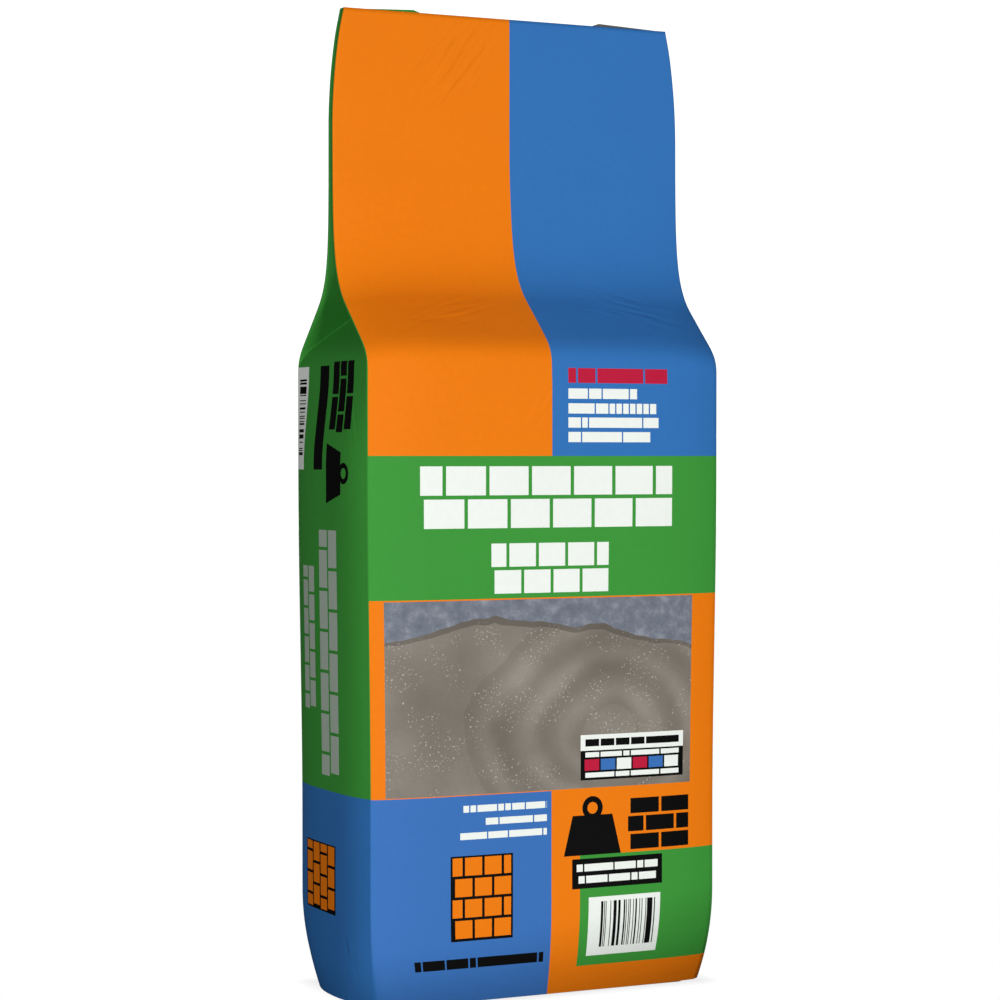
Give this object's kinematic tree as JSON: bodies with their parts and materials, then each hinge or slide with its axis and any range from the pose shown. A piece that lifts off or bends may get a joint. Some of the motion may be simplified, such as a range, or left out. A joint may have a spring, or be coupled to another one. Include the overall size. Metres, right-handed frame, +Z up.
{
  "type": "cement bag",
  "caption": "Filled open-mouth paper sack of cement with side gussets: a box-shaped body that stands upright below a shoulder and a flat pressed neck.",
  "frame": {"origin": "middle of the bag's footprint, on the surface that it stands on", "axes": "+Z up to the mouth, -Y out of the wide front panel, +X to the right as the front is looked at"},
  "size_m": [0.231, 0.114, 0.562],
  "materials": {
    "printed_paper": "printed sack paper in flat orange, blue and green fields, with a low satin varnish",
    "cement_powder": "matte grey powder"
  },
  "bodies": {
    "root": {"paper_sack": "printed_paper", "cement": "cement_powder"}
  },
  "joints": []
}
